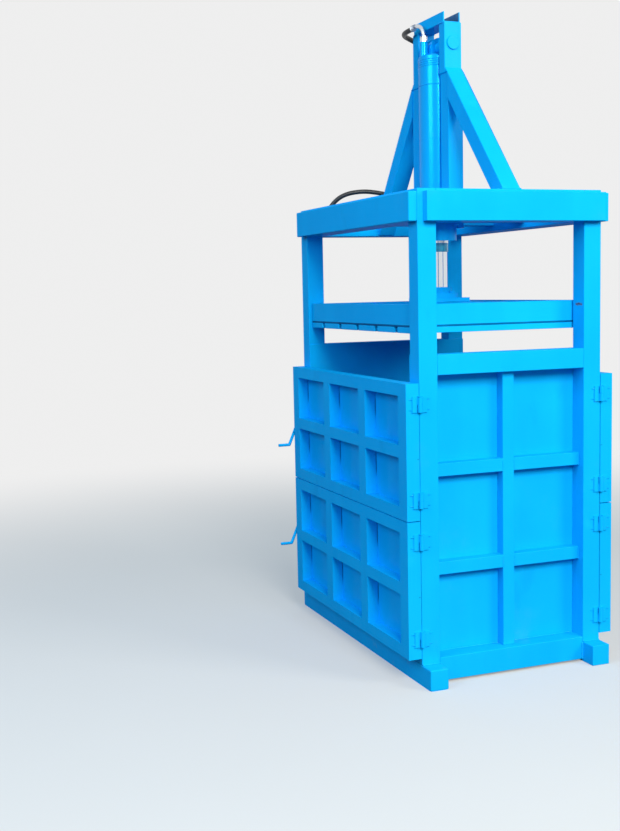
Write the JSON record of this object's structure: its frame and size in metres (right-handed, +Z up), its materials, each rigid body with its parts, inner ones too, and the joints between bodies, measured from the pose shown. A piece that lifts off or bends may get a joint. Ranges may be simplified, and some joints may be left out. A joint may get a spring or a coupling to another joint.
{
  "type": "vertical recycling baler",
  "caption": "Vertical baler with a hydraulic cylinder in an A-shaped mast, a slotted pressing platen and hinged, latched doors, for pressing scrap into wired bales.",
  "frame": {"origin": "on the floor, under the middle of the box frame", "axes": "+X along the front doors towards their hinges, +Y from the front to the rear, +Z up"},
  "size_m": [1.406, 1.098, 2.735],
  "materials": {
    "enamel": "glossy sky-blue enamel",
    "enamel_worn": "glossy blue enamel, scuffed",
    "chrome": "ground and plated",
    "zinc": "bright zinc",
    "rubber": "matt black"
  },
  "bodies": {
    "frame": {"skid_front": "enamel_worn", "skid_rear": "enamel_worn", "base_rail_left": "enamel", "base_rail_right": "enamel", "floor_beams": "enamel_worn", "floor_plate": "enamel_worn", "floor_strips": "enamel_worn", "post_front_left": "enamel", "post_front_right": "enamel", "post_rear_left": "enamel", "post_rear_right": "enamel", "top_rail_front": "enamel", "top_rail_rear": "enamel", "top_rail_left": "enamel", "top_rail_right": "enamel", "outer_beam_front": "enamel", "outer_beam_rear": "enamel", "outer_beam_left": "enamel", "outer_beam_right": "enamel", "sill_left": "enamel", "sill_right": "enamel", "wall_sheet_left": "enamel", "wall_sheet_right": "enamel", "wall_ribs_left": "enamel", "wall_ribs_right": "enamel", "mast_beams": "enamel", "mast_post_left": "enamel", "mast_post_right": "enamel", "brace_left": "enamel", "brace_right": "enamel", "head_channel": "enamel", "clevis_pin": "enamel", "barrel": "enamel", "cap": "enamel", "gland": "zinc", "elbow": "zinc", "hose": "rubber", "coupling": "zinc", "hinge_halves": "enamel", "keepers": "zinc"},
    "ram": {"piston_rod": "chrome", "piston": "zinc", "rod_flange": "enamel", "flange_bolts": "enamel", "platen_side_beams": "enamel", "platen_cross_beams": "enamel", "platen_plate": "enamel", "platen_strips": "enamel"},
    "front_upper_door": {"door_front_upper": "enamel"},
    "front_upper_latch": {"latch_front_upper": "enamel"},
    "front_lower_door": {"door_front_lower": "enamel"},
    "front_lower_latch": {"latch_front_lower": "enamel"},
    "rear_upper_door": {"door_rear_upper": "enamel"},
    "rear_upper_latch": {"latch_rear_upper": "enamel"},
    "rear_lower_door": {"door_rear_lower": "enamel"},
    "rear_lower_latch": {"latch_rear_lower": "enamel"}
  },
  "joints": [
    {"name": "ram_slide", "type": "slide", "parent": "frame", "child": "ram", "axis": [0, 0, -1], "range_m": [-0.14, 0.51]},
    {"name": "front_upper_door_hinge", "type": "hinge", "parent": "frame", "child": "front_upper_door", "pos_m": [0.6395, -0.415, 0.94], "axis": [0, 0, 1], "range_deg": [0, 180]},
    {"name": "front_upper_latch_pivot", "type": "hinge", "parent": "front_upper_door", "child": "front_upper_latch", "pos_m": [-0.638, -0.444, 0.94], "axis": [-1, 0, 0], "range_deg": [-28, 60]},
    {"name": "front_lower_door_hinge", "type": "hinge", "parent": "frame", "child": "front_lower_door", "pos_m": [0.6395, -0.415, 0.451], "axis": [0, 0, 1], "range_deg": [0, 180]},
    {"name": "front_lower_latch_pivot", "type": "hinge", "parent": "front_lower_door", "child": "front_lower_latch", "pos_m": [-0.638, -0.444, 0.451], "axis": [-1, 0, 0], "range_deg": [-28, 60]},
    {"name": "rear_upper_door_hinge", "type": "hinge", "parent": "frame", "child": "rear_upper_door", "pos_m": [0.6395, 0.415, 0.94], "axis": [0, 0, -1], "range_deg": [0, 180]},
    {"name": "rear_upper_latch_pivot", "type": "hinge", "parent": "rear_upper_door", "child": "rear_upper_latch", "pos_m": [-0.638, 0.444, 0.94], "axis": [1, 0, 0], "range_deg": [-28, 60]},
    {"name": "rear_lower_door_hinge", "type": "hinge", "parent": "frame", "child": "rear_lower_door", "pos_m": [0.6395, 0.415, 0.451], "axis": [0, 0, -1], "range_deg": [0, 180]},
    {"name": "rear_lower_latch_pivot", "type": "hinge", "parent": "rear_lower_door", "child": "rear_lower_latch", "pos_m": [-0.638, 0.444, 0.451], "axis": [1, 0, 0], "range_deg": [-28, 60]}
  ]
}
